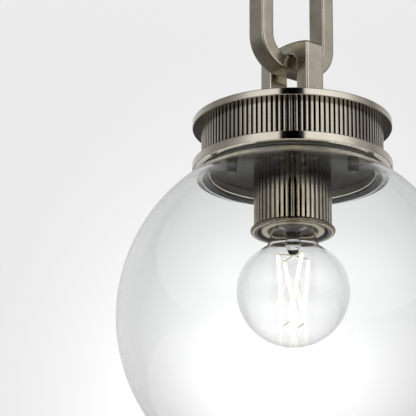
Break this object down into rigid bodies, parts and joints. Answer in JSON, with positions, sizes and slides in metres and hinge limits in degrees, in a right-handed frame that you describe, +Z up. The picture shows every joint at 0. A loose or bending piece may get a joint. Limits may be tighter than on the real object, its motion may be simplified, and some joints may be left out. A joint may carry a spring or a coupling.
{
  "type": "pendant ceiling light",
  "caption": "Chain-hung pendant with a clear glass globe, reeded nickel collar and socket cup, filament lamp, flat-bar links, round canopy and ceiling strap.",
  "frame": {"origin": "middle of the two outlet-box slots, in the ceiling plane", "axes": "+Z up towards the ceiling; the mounting strap runs along X; links 1 and 3 lie in the XZ plane"},
  "size_m": [0.25, 0.25, 0.7801],
  "materials": {
    "antique_nickel": "brushed antique nickel plate",
    "underside_nickel": "dull nickel plate",
    "zinc_steel": "zinc plated steel",
    "green_screw": "green dyed steel",
    "black_nylon": "moulded nylon",
    "brass": "rolled brass sheet",
    "porcelain": "cream glazed porcelain",
    "gasket_rubber": "translucent silicone rubber",
    "clear_glass": "clear blown glass",
    "bulb_glass": "clear thin blown glass",
    "plated_cap": "nickel plated brass sheet",
    "black_glass": "black vitrite",
    "led_filament": "phosphor coated filament, lit",
    "lead_wire": "nickel iron wire"
  },
  "bodies": {
    "canopy": {"mounting_strap": "zinc_steel", "canopy_studs": "zinc_steel", "stud_nuts": "zinc_steel", "ground_screw": "green_screw", "canopy_rim": "antique_nickel", "canopy_band": "antique_nickel", "canopy_face": "antique_nickel", "canopy_knobs": "antique_nickel", "canopy_gland": "antique_nickel", "canopy_gland_nut": "zinc_steel", "canopy_yoke": "antique_nickel", "canopy_yoke_screws": "zinc_steel"},
    "link_1": {"link_1": "antique_nickel"},
    "link_2": {"link_2": "antique_nickel"},
    "link_3": {"link_3": "antique_nickel"},
    "lamp": {"lamp_yoke": "antique_nickel", "lamp_yoke_screws": "zinc_steel", "collar_top": "antique_nickel", "collar_band": "antique_nickel", "collar_gallery": "antique_nickel", "fitter_plate": "underside_nickel", "lamp_nipple": "zinc_steel", "lamp_washer": "zinc_steel", "lamp_top_nut": "zinc_steel", "lamp_bottom_nut": "zinc_steel", "lamp_bush": "black_nylon", "socket_cup": "antique_nickel", "cup_strap": "zinc_steel", "cup_screws": "zinc_steel", "terminal_screws": "brass", "lampholder_body": "porcelain", "screw_shell": "brass", "centre_contact": "brass", "glass_gasket": "gasket_rubber", "globe": "clear_glass", "tab_spacers": "zinc_steel", "tab_screws": "zinc_steel"},
    "tab_1": {"tab_1": "zinc_steel"},
    "tab_2": {"tab_2": "zinc_steel"},
    "tab_3": {"tab_3": "zinc_steel"},
    "bulb": {"bulb_envelope": "bulb_glass", "bulb_cap": "plated_cap", "bulb_insulator": "black_glass", "bulb_tip": "plated_cap", "bulb_stem": "bulb_glass", "bulb_filaments": "led_filament", "bulb_wires": "lead_wire"}
  },
  "joints": [
    {"name": "link_1_swing", "type": "hinge", "parent": "canopy", "child": "link_1", "pos_m": [0, 0, -0.07795], "axis": [0, 1, 0], "range_deg": [-9, 9]},
    {"name": "link_2_swing", "type": "hinge", "parent": "link_1", "child": "link_2", "pos_m": [0, 0, -0.2082], "axis": [1, 0, 0], "range_deg": [-9, 9]},
    {"name": "link_3_swing", "type": "hinge", "parent": "link_2", "child": "link_3", "pos_m": [0, 0, -0.3377], "axis": [0, 1, 0], "range_deg": [-9, 9]},
    {"name": "lamp_swing", "type": "hinge", "parent": "link_3", "child": "lamp", "pos_m": [0, 0, -0.4672], "axis": [1, 0, 0], "range_deg": [-9, 9]},
    {"name": "tab_1_turn", "type": "hinge", "parent": "lamp", "child": "tab_1", "pos_m": [0.03214, 0.0383, -0.55269], "axis": [0, 0, 1], "range_deg": [0, 90]},
    {"name": "tab_2_turn", "type": "hinge", "parent": "lamp", "child": "tab_2", "pos_m": [-0.04924, 0.00868, -0.55269], "axis": [0, 0, 1], "range_deg": [0, 90]},
    {"name": "tab_3_turn", "type": "hinge", "parent": "lamp", "child": "tab_3", "pos_m": [0.0171, -0.04698, -0.55269], "axis": [0, 0, 1], "range_deg": [0, 90]},
    {"name": "bulb_unscrew", "type": "slide", "parent": "lamp", "child": "bulb", "axis": [0, 0, -1], "range_m": [0, 0.03]}
  ]
}
